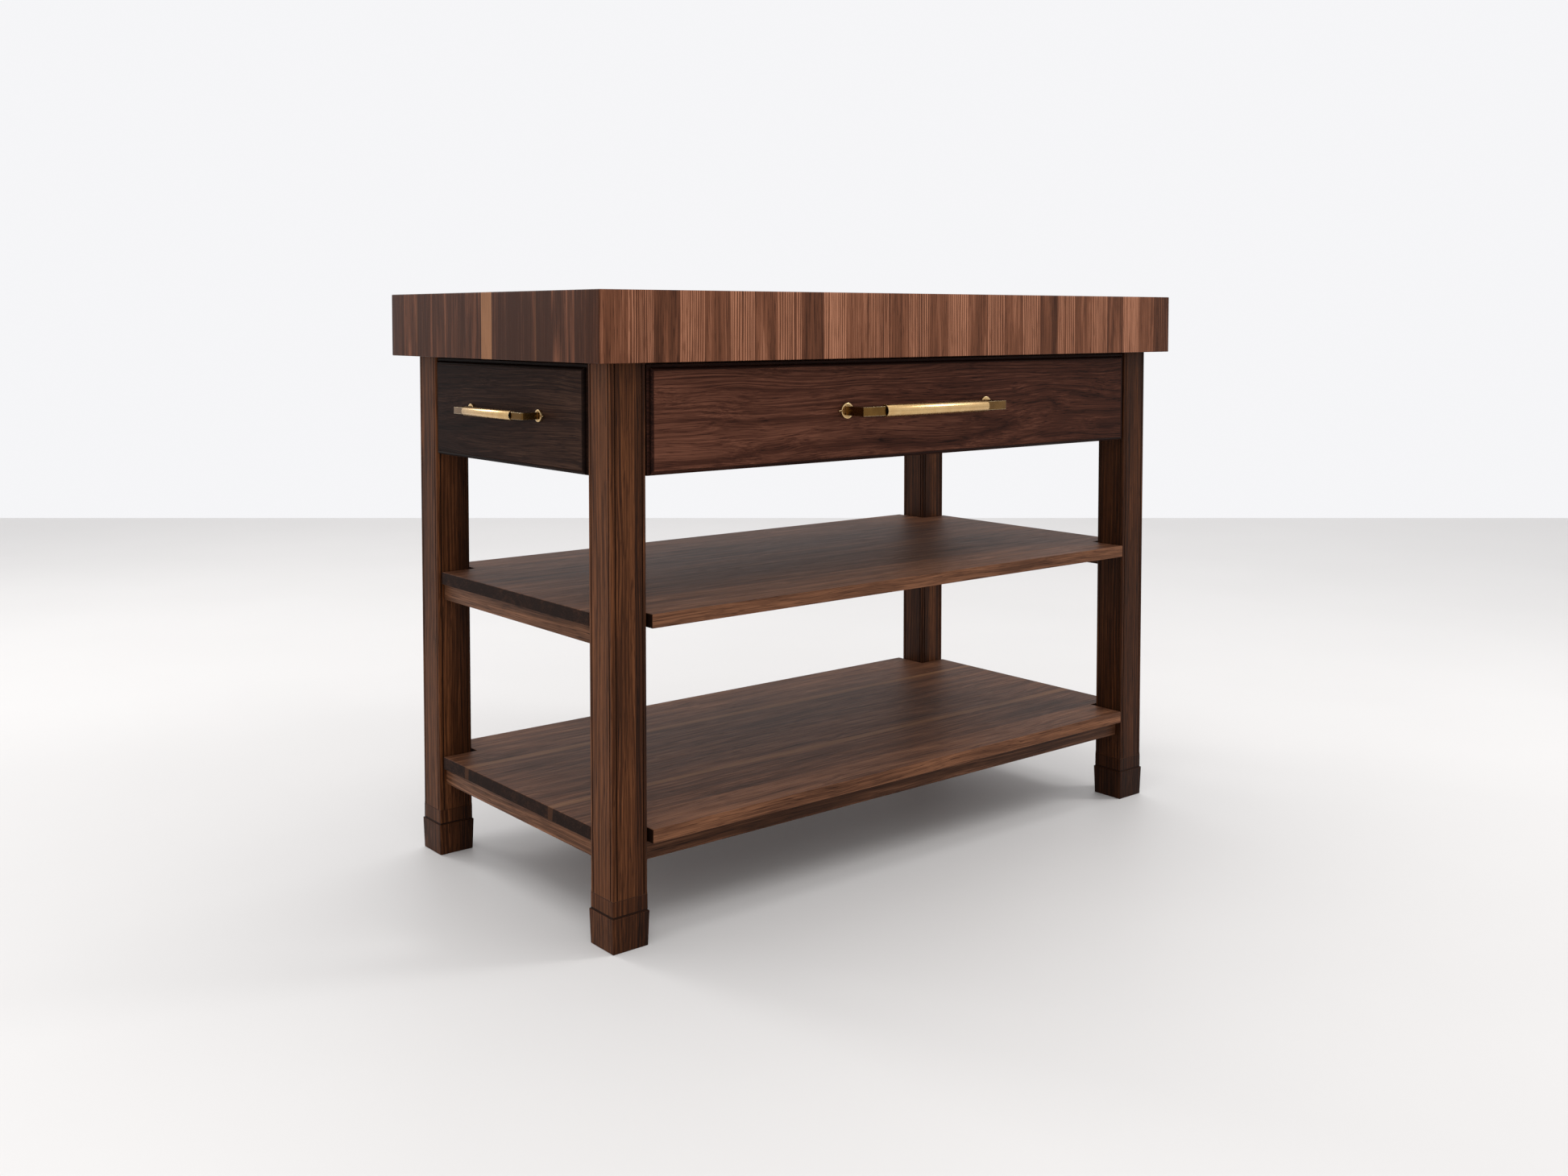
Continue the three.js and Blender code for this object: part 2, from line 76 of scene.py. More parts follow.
def timber(name, grain, dark, middle, light, sapwood=("#5f3c26", "#9a6c4b"), ring=5.5, drift=9.0,
           sheen=0.42, gloss=0.12, stripe=0.0, cloud=0.5):
    """A solid wood: value = 0.5 + slow streaks + fine fibres + tone + growth lines - pores, shown from dark to
    light. Growth lines are rings round a pith line along the grain, and what lies past the heartwood's radius is
    sapwood. Each face may state its board's pith (mm) and cut (tone, heartwood radius in mm, line contrast).
    Ring is the rings' mean spacing and drift how far they wander, in mm; sheen is the mean roughness and gloss
    the specular level; stripe is added to the line contrast, and cloud is how strong the slow streaks are."""
    streak_width, fibre_width, pore_width = 16, 1.5, 1.2  # mm
    streak_length, fibre_length, pore_length = 240, 160, 34
    wander_width, wander_length, uneven_width = 90, 420, 26
    fibre_depth, line_ridge, line_share = 1.3, 2.2, 0.31
    sapwood_edge, rubbed_width, relief = 3.0, 1.5, 0.25
    rough_swing, end_rough, end_stain = 0.07, 0.12, "#b3aca8"
    material = bpy.data.materials.new(name)
    material.use_nodes = True
    tree = material.node_tree
    tree.nodes.clear()

    # Place in the trunk, in millimetres, its pith at the origin and its length along Z, wandering slowly.
    place = node(tree, "TexCoord", output="Object")
    place = node(tree, "VectorMath", {0: place, "Scale": 1 / MM}, operation="SCALE")
    pith = node(tree, "Attribute", output="Vector", attribute_name="pith")
    cut = node(tree, "Attribute", output="Vector", attribute_name="cut")
    tone, heart, line = node(tree, "SeparateXYZ", {0: cut}).node.outputs
    axes = node(tree, "SeparateXYZ", {0: node(tree, "VectorMath", {0: place, 1: pith}, operation="SUBTRACT")})
    order = {"x": (1, 2, 0), "y": (2, 0, 1), "z": (0, 1, 2)}[grain]
    trunk = node(tree, "CombineXYZ", {i: axes.node.outputs[axis] for i, axis in enumerate(order)})
    slow = node(tree, "VectorMath", {0: trunk, 1: (1 / wander_width, 1 / wander_width, 1 / wander_length)},
                operation="MULTIPLY")
    slow = node(tree, "TexNoise", {"Vector": slow, "Scale": 1.0, "Detail": 2.0}, "Color")
    slow = node(tree, "VectorMath", {0: slow, 1: (2 * drift, 2 * drift, 0), 2: (-drift, -drift, 0)},
                operation="MULTIPLY_ADD")
    bent = node(tree, "VectorMath", {0: trunk, 1: slow}, operation="ADD")
    across = node(tree, "VectorMath", {0: bent, 1: (1, 1, 0)}, operation="MULTIPLY")
    radius = node(tree, "VectorMath", {0: across}, "Value", operation="LENGTH")

    # Growth lines of uneven width, thin and light on a darker ground.
    uneven = node(tree, "Math", {0: radius, 1: 1 / uneven_width}, operation="MULTIPLY")
    uneven = node(tree, "TexNoise", {"W": uneven, "Scale": 1.0, "Detail": 1.0}, noise_dimensions="1D")
    rings = node(tree, "Math", {0: radius, 1: 1 / ring}, operation="MULTIPLY")
    rings = node(tree, "Math", {0: uneven, 1: 4.0, 2: rings}, operation="MULTIPLY_ADD")
    rings = node(tree, "Math", {0: rings, 1: 0.5}, operation="PINGPONG")
    rings = node(tree, "Math", {0: rings, 1: 2.0}, operation="MULTIPLY")
    rings = node(tree, "Math", {0: rings, 1: line_ridge}, operation="POWER")
    rings = node(tree, "Math", {0: rings, 1: line_share}, operation="SUBTRACT")
    line = node(tree, "Math", {0: line, 1: stripe}, operation="ADD")

    # Streaks, fibres and open pores, all long in the grain. Real fibres and pores are under 0.5 mm wide, which is
    # too fine to show from across the room, so both are drawn coarser.
    streak = node(tree, "VectorMath", {0: bent, 1: (1 / streak_width, 1 / streak_width, 1 / streak_length)},
                  operation="MULTIPLY")
    streak = node(tree, "TexNoise", {"Vector": streak, "Scale": 1.0, "Detail": 3.0})
    fibre = node(tree, "VectorMath", {0: bent, 1: (1 / fibre_width, 1 / fibre_width, 1 / fibre_length)},
                 operation="MULTIPLY")
    fibre = node(tree, "TexNoise", {"Vector": fibre, "Scale": 1.0, "Detail": 3.0, "Roughness": 0.65})
    pore = node(tree, "VectorMath", {0: bent, 1: (1 / pore_width, 1 / pore_width, 1 / pore_length)},
                operation="MULTIPLY")
    pore = node(tree, "TexNoise", {"Vector": pore, "Scale": 1.0, "Detail": 1.0})
    pore = node(tree, "MapRange", {0: pore, 1: 0.42, 2: 0.3, 3: 0.0, 4: 0.3}, interpolation_type="SMOOTHSTEP")

    value = node(tree, "Math", {0: streak, 1: 2 * cloud, 2: 0.5 - cloud}, operation="MULTIPLY_ADD")
    value = node(tree, "Math", {0: fibre, 1: fibre_depth, 2: value}, operation="MULTIPLY_ADD")
    value = node(tree, "Math", {0: value, 1: fibre_depth / 2}, operation="SUBTRACT")
    value = node(tree, "Math", {0: tone, 1: 0.5, 2: value}, operation="MULTIPLY_ADD")
    value = node(tree, "Math", {0: rings, 1: line, 2: value}, operation="MULTIPLY_ADD")
    value = node(tree, "Math", {0: value, 1: pore}, operation="SUBTRACT")

    low = node(tree, "MapRange", {0: value, 1: 0.0, 2: 0.5})
    high = node(tree, "MapRange", {0: value, 1: 0.5, 2: 1.0})
    colour = node(tree, "Mix", {0: low, 6: linear(dark), 7: linear(middle)}, 2, data_type="RGBA")
    colour = node(tree, "Mix", {0: high, 6: colour, 7: linear(light)}, 2, data_type="RGBA")

    # Arrises are rubbed a little lighter: a normal rounded over a small radius turns from the true one there.
    rounded = node(tree, "Bevel", {"Radius": rubbed_width * MM}, samples=4)
    true = node(tree, "NewGeometry", output="Normal")
    rubbed = node(tree, "VectorMath", {0: rounded, 1: true}, "Value", operation="DOT_PRODUCT")
    rubbed = node(tree, "MapRange", {0: rubbed, 1: 0.97, 2: 0.8, 3: 0.0, 4: 0.35})
    colour = node(tree, "Mix", {0: rubbed, 6: colour, 7: linear(light)}, 2, data_type="RGBA")

    # Sapwood starts just past the heartwood's radius; a radius of 0 means there is none.
    pale = node(tree, "Mix", {0: value, 6: linear(sapwood[0]), 7: linear(sapwood[1])}, 2, data_type="RGBA")
    past = node(tree, "Math", {0: radius, 1: heart}, operation="SUBTRACT")
    past = node(tree, "MapRange", {0: past, 1: 0.0, 2: sapwood_edge}, interpolation_type="SMOOTHSTEP")
    has_heart = node(tree, "Math", {0: heart, 1: 0.5}, operation="GREATER_THAN")
    past = node(tree, "Math", {0: past, 1: has_heart}, operation="MULTIPLY")
    colour = node(tree, "Mix", {0: past, 6: colour, 7: pale}, 2, data_type="RGBA")

    # End grain drinks more of the finish: darker and duller where the surface cuts across the grain.
    normal = node(tree, "VectorMath", {0: true}, operation="ABSOLUTE")
    normal = node(tree, "SeparateXYZ", {0: normal}).node.outputs["xyz".index(grain)]
    end = node(tree, "MapRange", {0: normal, 1: 0.6, 2: 0.95}, interpolation_type="SMOOTHSTEP")
    soaked = node(tree, "Mix", {0: 1.0, 6: colour, 7: linear(end_stain)}, 2, data_type="RGBA",
                  blend_type="MULTIPLY")
    colour = node(tree, "Mix", {0: end, 6: colour, 7: soaked}, 2, data_type="RGBA")
    rough = node(tree, "MapRange", {0: fibre, 1: 0.3, 2: 0.7, 3: sheen + rough_swing, 4: sheen - rough_swing})
    rough = node(tree, "Math", {0: end, 1: end_rough, 2: rough}, operation="MULTIPLY_ADD")
    bump = node(tree, "Bump", {"Height": value, "Strength": 0.3, "Distance": relief * MM})

    shader = node(tree, "BsdfPrincipled", {
        "Base Color": colour, "Roughness": rough, "Normal": bump, "Specular IOR Level": gloss})
    node(tree, "OutputMaterial", {"Surface": shader})
    return material


def quads(rows, columns, across=False):
    """Corner numbers of the quads of a grid of points numbered row by row. Across joins the last column to the
    first, for a surface that closes on itself."""
    first = np.arange(rows - 1)[:, None] * columns
    here = np.arange(columns if across else columns - 1)
    there = (here + 1) % columns
    corners = [first + here, first + there, first + columns + there, first + columns + here]
    return np.stack(corners, -1).reshape(-1, 4)


def make(name, points, faces, material, pith=None, cut=None, domain="FACE", crease=math.radians(35)):
    """An object of these points and faces, shaded smooth except over angles past the crease. Pith and cut, in
    the words of timber(), are one vector for the whole piece or one for each face (or point) of it."""
    mesh = bpy.data.meshes.new(name)
    mesh.from_pydata(np.asarray(points, float).tolist(), [], [list(map(int, face)) for face in faces])
    for label, vectors in (("pith", pith), ("cut", cut)):
        if vectors is not None:
            attribute = mesh.attributes.new(label, "FLOAT_VECTOR", domain)
            vectors = np.broadcast_to(np.asarray(vectors, np.float32), (len(attribute.data), 3))
            attribute.data.foreach_set("vector", np.ascontiguousarray(vectors).ravel())
    mesh.materials.append(material)
    mesh.shade_smooth()
    mesh.set_sharp_from_angle(angle=crease)
    made = bpy.data.objects.new(name, mesh)
    bpy.context.scene.collection.objects.link(made)
    return made


def eased_box(low, high, ease, cuts=((), (), ())):
    """Points and quads of a box with rounded edges. Lines are ruled on the six flat faces, and each crossing p
    moves to q + ease (p - q)/|p - q|, where q is p clamped to the box that is smaller by the ease all round."""
    low, high = np.array(low, float), np.array(high, float)
    steps = ease * (1 - np.tan(np.radians([45, 30, 15, 0])))
    lines = [np.unique(np.concatenate([low[i] + steps, high[i] - steps, cuts[i]])) for i in range(3)]
    points, faces, start = [], [], 0
    for axis in range(3):
        u, v = (axis + 1) % 3, (axis + 2) % 3
        for side in (low, high):
            grid = np.zeros((len(lines[u]), len(lines[v]), 3))
            grid[..., axis] = side[axis]
            grid[..., u] = lines[u][:, None]
            grid[..., v] = lines[v][None, :]
            found = quads(*grid.shape[:2]) + start
            faces.append(found[:, ::-1] if side is high else found)
            points.append(grid.reshape(-1, 3))
            start += len(points[-1])
    points, faces = np.concatenate(points), np.concatenate(faces)
    inner = np.clip(points, low + ease, high - ease)
    out = points - inner
    points = inner + ease * out / np.linalg.norm(out, axis=1, keepdims=True)
    _, kept, same = np.unique(np.round(points, 7), axis=0, return_index=True, return_inverse=True)
    return points[kept], same.ravel()[faces]


STAVES = 28
ROWS_MM = (61, 61, 44, 40, 42, 43, 32, 50, 60, 60, 42, 45, 45)  # depth of each row, from the front
PALE_ROW = 6  # this row's first stave is all sapwood
ALL_SAPWOOD, PALE_TONE = 1, 0.45  # its heartwood radius in mm, and its tone
STREAKED_ROWS = (2, 10)  # these rows' first staves have a thin edge of sapwood
STREAK_PITH_MM, STREAK_MM = 70, 3.5  # from the stave's middle to its pith, and the width of that edge
BLOCK_EASE = 1.2 * MM

block_low, block_high = (np.array(corner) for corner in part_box("butcher_block_top"))
stave = (block_high[0] - block_low[0]) / STAVES
row_edges = np.concatenate([[0], np.cumsum(ROWS_MM)]) / sum(ROWS_MM)
row_edges = block_low[1] + row_edges * (block_high[1] - block_low[1])
row_middles = (row_edges[1:] + row_edges[:-1]) / 2
points, faces = eased_box(block_low, block_high, BLOCK_EASE, (
    block_low[0] + stave / 2 * np.arange(1, 2 * STAVES), row_edges[1:-1], ()))

# Which stave each face belongs to, and how that stave was sawn: rift staves have their pith off to one side and
# show light lines along the front, and the others have it behind them and are darker and plainer.
centres = points[faces].mean(1)
row = np.clip(np.searchsorted(row_edges, centres[:, 1]) - 1, 0, len(ROWS_MM) - 1)
column = np.clip(np.floor((centres[:, 0] - block_low[0]) / stave + row % 2 / 2), 0, STAVES).astype(int)
chance = np.random.default_rng(31)
shape = (len(ROWS_MM), STAVES + 1)
rows, columns = np.indices(shape)
rift = (rows + columns) % 2 == 1
middle_x = (block_low[0] + (columns + 0.5 - rows % 2 / 2) * stave) / MM
middle_y = row_middles[rows] / MM
sign = chance.choice([-1, 1], shape)
pith = np.stack([
    middle_x + np.where(rift, sign * chance.uniform(60, 130, shape), chance.uniform(-20, 20, shape)),
    middle_y + np.where(rift, chance.uniform(-20, 20, shape), chance.uniform(55, 110, shape)),
    chance.uniform(-400, 400, shape)], -1)
tone = np.where(rift, 0.22, -0.2) + chance.uniform(-0.3, 0.3, shape)
heart = np.zeros(shape)
for row_number in STREAKED_ROWS:
    pith[row_number, 0, :2] = block_low[0] / MM, middle_y[row_number, 0] - STREAK_PITH_MM
    heart[row_number, 0] = STREAK_PITH_MM + ROWS_MM[row_number] / 2 - STREAK_MM
heart[PALE_ROW, 0] = ALL_SAPWOOD
lines = np.where(rift, chance.uniform(0.5, 1.0, shape), chance.uniform(0.1, 0.35, shape))
tone[0, -4:] = (0.5, -0.2, -0.9, 0.6)  # staves at the front corners that stand out
tone[0, :4] = (-0.15, 0.1, -0.5, 0.3)
cut = np.stack([tone, heart, lines], -1)[row, column]

# The ends show the staves' other faces, which are darker and have fainter lines.
on_end = (centres[:, 0] < block_low[0] + BLOCK_EASE) | (centres[:, 0] > block_high[0] - BLOCK_EASE)
cut[on_end] = cut[on_end] * (0.9, 1, 0.5) - (0.85, 0, 0)
cut[cut[:, 1] == ALL_SAPWOOD, 0] = PALE_TONE

# Walnut sanded and oiled: warm mid brown with a dull shine, and darker on top where the oil sinks in.
oiled_walnut = timber("oiled end-grain walnut", "z", "#3a1f12", "#6e432e", "#a87358", ring=3.8, drift=6.0,
                      gloss=0.08, cloud=0.35)
block = make("block", points, faces, oiled_walnut, pith[row, column], cut)
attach(block, "carcass")
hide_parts("butcher_block_top")

# ---------------------------------------------------------------- the legs
# Each leg is three walnut boards glued face to face and planed square. A router cuts a quirk each side of every
# corner and leaves a bead, which stops above a plain collar; the foot below a small ledge tapers to the floor.

LEG_HALF, FOOT_TOP_HALF, FOOT_HALF = 28.75 * MM, 30.5 * MM, 29 * MM
FOOT_HEIGHT, BEAD_STOP = 50 * MM, 74 * MM
QUIRK_SETBACK, QUIRK_HALF_WIDTH, QUIRK_DEPTH, BEAD_RADIUS = 6.6 * MM, 1.2 * MM, 1.6 * MM, 2.4 * MM
FOOT_EASE, LEDGE_EASE, LEDGE_RISE = 0.8 * MM, 0.3 * MM, 0.2 * MM
SCORE_WIDTH, SCORE_DEPTH = 1 * MM, 0.45 * MM  # the line scored round the top of the collar
BOARD_HALF = 9.6 * MM  # half the thickness of the middle board
LEDGE_SHADE_HEIGHT = 2.5 * MM  # height of the painted shadow line over the ledge
# Tone of the painted shade in the quirks, in the score line and over the ledge
PAINTED_SHADE_TONE = -2


def leg_surface(centre, top):
    """Points and faces of a leg. Ring k is a square of half width h with corners of radius c, whose sides dip by
    g (1 - (d/w)^2) where d, the distance from the quirk's middle, is below its half width w. The rings' heights,
    h, c and g follow the leg from the floor up."""
    bead_mm = BEAD_RADIUS / MM
    rings = [
        (0, FOOT_HALF - FOOT_EASE, 1, 0), (FOOT_EASE, FOOT_HALF, 1, 0),
        (FOOT_HEIGHT - FOOT_EASE, FOOT_TOP_HALF, 1, 0),
        (FOOT_HEIGHT - LEDGE_RISE, FOOT_TOP_HALF - LEDGE_EASE, 1, 0),
        (FOOT_HEIGHT, FOOT_TOP_HALF - FOOT_EASE, 1, 0), (FOOT_HEIGHT + LEDGE_RISE, LEG_HALF, 1, 0),
        (FOOT_HEIGHT + LEDGE_SHADE_HEIGHT, LEG_HALF, 1, 0),
        (BEAD_STOP - SCORE_WIDTH, LEG_HALF, 1, 0),
        (BEAD_STOP - SCORE_WIDTH / 2, LEG_HALF - SCORE_DEPTH, 1, 0),
        (BEAD_STOP, LEG_HALF, 1, 0),
    ]
    # The router's cut deepens over the first 7 mm.
    rings += [(BEAD_STOP + rise * MM, LEG_HALF, 1 + share * (bead_mm - 1), share)
              for rise, share in ((0.3, 0.3), (1, 0.55), (2.5, 0.8), (4.5, 0.95), (7, 1))]
    rings.append((top, LEG_HALF, bead_mm, 1))
    height, half, corner, depth = (np.array(column)[:, None] for column in zip(*rings))
    corner = corner * MM

    across = np.array([1, 0.5, 0, -0.5, -1])  # from one lip of the quirk to the other
    plain = LEG_HALF - BOARD_HALF
    back = np.concatenate([[LEG_HALF, plain], QUIRK_SETBACK + QUIRK_HALF_WIDTH * across])  # from the corner
    dip = np.concatenate([[0, 0], QUIRK_DEPTH * (1 - across ** 2)])
    side_x = np.concatenate([half - dip * depth, half + 0 * corner], 1)
    side_y = np.concatenate([half - back * half / LEG_HALF, half - corner], 1)
    turn = np.radians([22.5, 45, 67.5])
    arc_x = half - corner + corner * np.cos(turn)
    arc_y = half - corner + corner * np.sin(turn)
    x = np.concatenate([side_x, arc_x, side_y[:, :0:-1]], 1)
    y = np.concatenate([side_y, arc_y, side_x[:, :0:-1]], 1)
    x, y = np.concatenate([x, -y, -x, y], 1), np.concatenate([y, x, -y, -x], 1)
    z = np.broadcast_to(height, x.shape)
    points = np.stack([centre[0] + x, centre[1] + y, z], -1)
    count = x.shape[1]
    faces = quads(len(rings), count, across=True).tolist()
    faces.append(list(range(count))[::-1])
    faces.append([(len(rings) - 1) * count + i for i in range(count)])
    return points.reshape(-1, 3), faces


# Satin lacquer keeps walnut dark and clear, and the growth lines stand out along the leg.
lacquered_leg = timber("satin lacquered walnut, vertical", "z", "#1b0b04", "#3d200e", "#6e4226", ring=4.6,
                       sheen=0.45, gloss=0.08, cloud=0.45)
LEG_LINES = (0.3, 0.18, 0.32)  # line contrast of the left, middle and right board
leg_boards = {  # tone of the left, middle and right board, then of the left and right faces, partly wood and partly painted light
    "leg_front_left": ((0.15, 0.3, -0.3), (0.5, -0.1)),
    "leg_front_right": ((-0.3, -0.15, -0.35), (-0.3, -0.2)),
    "leg_back_left": ((0.35, 0.0, -0.35), (0.3, -0.1)),
    "leg_back_right": ((-0.3, 0.3, -0.2), (-0.2, 0.0)),
}
chance = np.random.default_rng(5)
for name, (board_tones, face_wood_and_light_tones) in leg_boards.items():
    low, high = (np.array(corner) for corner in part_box(name))
    centre = (low + high) / 2
    points, faces = leg_surface(centre, high[2])
    middle = np.array([points[face].mean(0) for face in faces])
    board = np.clip(np.round((middle[:, 0] - centre[0]) / (1.5 * BOARD_HALF)), -1, 1).astype(int) + 1
    # Each board's pith is about 80 mm away, in its own direction.
    piths = np.stack([
        (centre[0] / MM + np.array([-70, 55, 90]) + chance.uniform(-15, 15, 3)),
        (centre[1] / MM + np.array([30, -60, 25]) + chance.uniform(-15, 15, 3)),
        chance.uniform(-300, 300, 3)], -1)
    tones = np.array(board_tones)[board]
    # The left faces are painted lighter where they face out to the left and darker where they face in under the
    # table: painted light and shade on top of the wood's own tone.
    tones = np.where(middle[:, 0] < centre[0] - LEG_HALF + MM, face_wood_and_light_tones[0], tones)
    tones = np.where(middle[:, 0] > centre[0] + LEG_HALF - MM, face_wood_and_light_tones[1], tones)
    # The collar and the foot hold more of the finish and are darker.
    tones = tones - 0.3 * (middle[:, 2] < BEAD_STOP) - 0.15 * (middle[:, 2] < FOOT_HEIGHT)
    setback = LEG_HALF - np.abs(middle[:, :2] - centre[:2])  # painted shade darkens the quirks
    painted_shade = (np.abs(setback.max(1) - QUIRK_SETBACK) < QUIRK_HALF_WIDTH) & (middle[:, 2] > BEAD_STOP)
    # The score line and the band over the ledge get the same painted shade.
    painted_shade |= (middle[:, 2] > BEAD_STOP - SCORE_WIDTH) & (middle[:, 2] < BEAD_STOP)
    painted_shade |= (middle[:, 2] > FOOT_HEIGHT - 0.1 * MM) & (middle[:, 2] < FOOT_HEIGHT + LEDGE_SHADE_HEIGHT)
    tones = np.where(painted_shade, PAINTED_SHADE_TONE, tones)
    cut = np.stack([tones, 0 * tones, np.array(LEG_LINES)[board]], -1)
    leg = make(name.replace("leg", "walnut_leg"), points, faces, lacquered_leg, piths[board], cut,
               crease=math.radians(25))
    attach(leg, "carcass")
    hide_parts(name)

# ---------------------------------------------------------------- aprons and rails
# Walnut boards tenoned into the legs between their shoulders, with eased arrises. End rails lie under the ends
# of both shelves, and long rails under the front and back edges of the lower one.

RAIL_EASE = 0.8 * MM
SHOULDER_GAP = 0.3 * MM
RAIL_LINES = 0.15  # line contrast
RAIL_PITH_MM = (60, 60, -45)  # from the rail's middle to its pith, along each axis that isn't the grain's

# The same lacquer as the legs. The boards across the table are a lighter lot than the long ones.
rail_walnut = {
    "x": timber("satin lacquered walnut rail, lengthwise", "x", "#1f1008", "#452a1b", "#75503a",
                gloss=0.08, stripe=0.1),
    "y": timber("satin lacquered walnut rail, crosswise", "y", "#2a170b", "#5d3d2a", "#8f6246",
                gloss=0.08, stripe=0.1),
}
leg_low = np.array(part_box("leg_front_left")[0]) + (FOOT_TOP_HALF - LEG_HALF)
leg_high = np.array(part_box("leg_back_right")[1]) - (FOOT_TOP_HALF - LEG_HALF)
between_legs = (leg_low + 2 * LEG_HALF + SHOULDER_GAP, leg_high - 2 * LEG_HALF - SHOULDER_GAP)
chance = np.random.default_rng(8)
for name, grain, board_tone in (
        ("back_apron", "x", 0.0), ("right_apron", "y", -0.5), ("front_top_rail", "x", -0.2),
        ("left_top_rail", "y", -0.3), ("lower_front_rail", "x", -0.1), ("lower_back_rail", "x", 0.1),
        ("middle_end_rail_left", "y", 0.15), ("middle_end_rail_right", "y", -0.2),
        ("lower_end_rail_left", "y", 0.0), ("lower_end_rail_right", "y", -0.2)):
    low, high = (np.array(corner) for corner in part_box(name))
    along = "xyz".index(grain)
    low[along], high[along] = between_legs[0][along], between_legs[1][along]
    points, faces = eased_box(low, high, RAIL_EASE)
    middle = (low + high) / 2 / MM
    pith = middle + chance.uniform(-25, 25, 3) + np.where(np.arange(3) == along, 0, RAIL_PITH_MM)
    rail = make("walnut_" + name, points, faces, rail_walnut[grain], pith, (board_tone, 0, RAIL_LINES))
    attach(rail, "carcass")
    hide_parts(name)


def refinish(name, material):
    """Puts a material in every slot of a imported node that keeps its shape."""
    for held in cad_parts[name].material_slots:
        held.material = material


# The inner rail, the divider, the packers and the cleats are plain sawn boards that nobody sees from outside.
for name, grain in (("inner_front_rail", "x"), ("divider_panel", "y"), ("back_packer", "x"),
                    ("right_packer", "y"), ("back_top_cleat", "x"), ("right_top_cleat", "y")):
    refinish(name, rail_walnut[grain])

# ---------------------------------------------------------------- the shelves
# Each shelf is five walnut boards glued edge to edge with the grain along the table, notched round the legs and
# eased on every edge. Some boards keep a little sapwood along one joint, and their ends are dark end grain.

SHELF_EASE = 1.2 * MM


def slab(xs, ys, present, low, high):
    """Points and faces of a flat board whose plan is the cells of a ruled grid that are present. Each present
    cell gives a top and a bottom, and a side wherever the next cell over is absent."""
    grid = np.stack(np.meshgrid(xs, ys, indexing="ij"), -1).reshape(-1, 2)
    points = np.concatenate([np.column_stack([grid, np.full(len(grid), z)]) for z in (low, high)])
    numbers = np.arange(len(grid)).reshape(len(xs), len(ys))
    a, b, c, d = numbers[:-1, :-1], numbers[1:, :-1], numbers[1:, 1:], numbers[:-1, 1:]
    over = len(grid)
    padded = np.pad(present, 1)
    sides = [np.stack([a, b, c, d], -1)[present] + over, np.stack([d, c, b, a], -1)[present]]
    for first, second, step_x, step_y in ((a, b, 0, -1), (b, c, 1, 0), (c, d, 0, 1), (d, a, -1, 0)):
        beyond = np.roll(padded, (-step_x, -step_y), (0, 1))[1:-1, 1:-1]
        open_here = present & ~beyond
        sides.append(np.stack([first, second, second + over, first + over], -1)[open_here])
    faces = np.concatenate(sides)
    used, faces_used = np.unique(faces, return_inverse=True)
    return points[used], faces_used.reshape(faces.shape)


def edge_round(piece, width, segments=3):
    """Rounds every edge over 30 degrees."""
    bevel = piece.modifiers.new("eased edges", "BEVEL")
    bevel.width, bevel.segments, bevel.limit_method = width, segments, "ANGLE"
    bevel.angle_limit = math.radians(30)
    bevel.harden_normals = True


# Satin lacquer worn duller than on the legs, over flat-sawn boards whose wide rings run as long flames.
shelf_walnut = timber("satin lacquered walnut shelf", "x", "#2b180e", "#563726", "#84593f", ring=9.0, drift=14.0,
                      sheen=0.52, gloss=0.08, stripe=0.15, sapwood=("#603f2a", "#835d40"))
NOTCH_GAP = 6 * MM  # shelf to leg, round the notches
END_TONE, NOTCH_SHADE_TONE = -0.9, -1.6  # ends drink the oil, and the notch walls get painted shade
SAP_PITH_MM, SAP_DROP_MM, SAP_MM = 90, 15, 11  # pith of a board with sapwood: sideways, down; its sapwood's width
shelf_boards = {  # joints in mm from the middle, then each board's tone and the side where its sapwood lies
    "middle_shelf": ((-180, -62, 48, 170), (0.25, -0.1, 0.0, -0.15, 0.1), (0, 0, 0, 0, 0)),
    "lower_shelf": ((-220, -106, 10, 150), (0.3, -0.15, 0.05, -0.05, 0.15), (0, 1, 0, 1, 0)),
}
chance = np.random.default_rng(21)
middle_y = (leg_low[1] + leg_high[1]) / 2
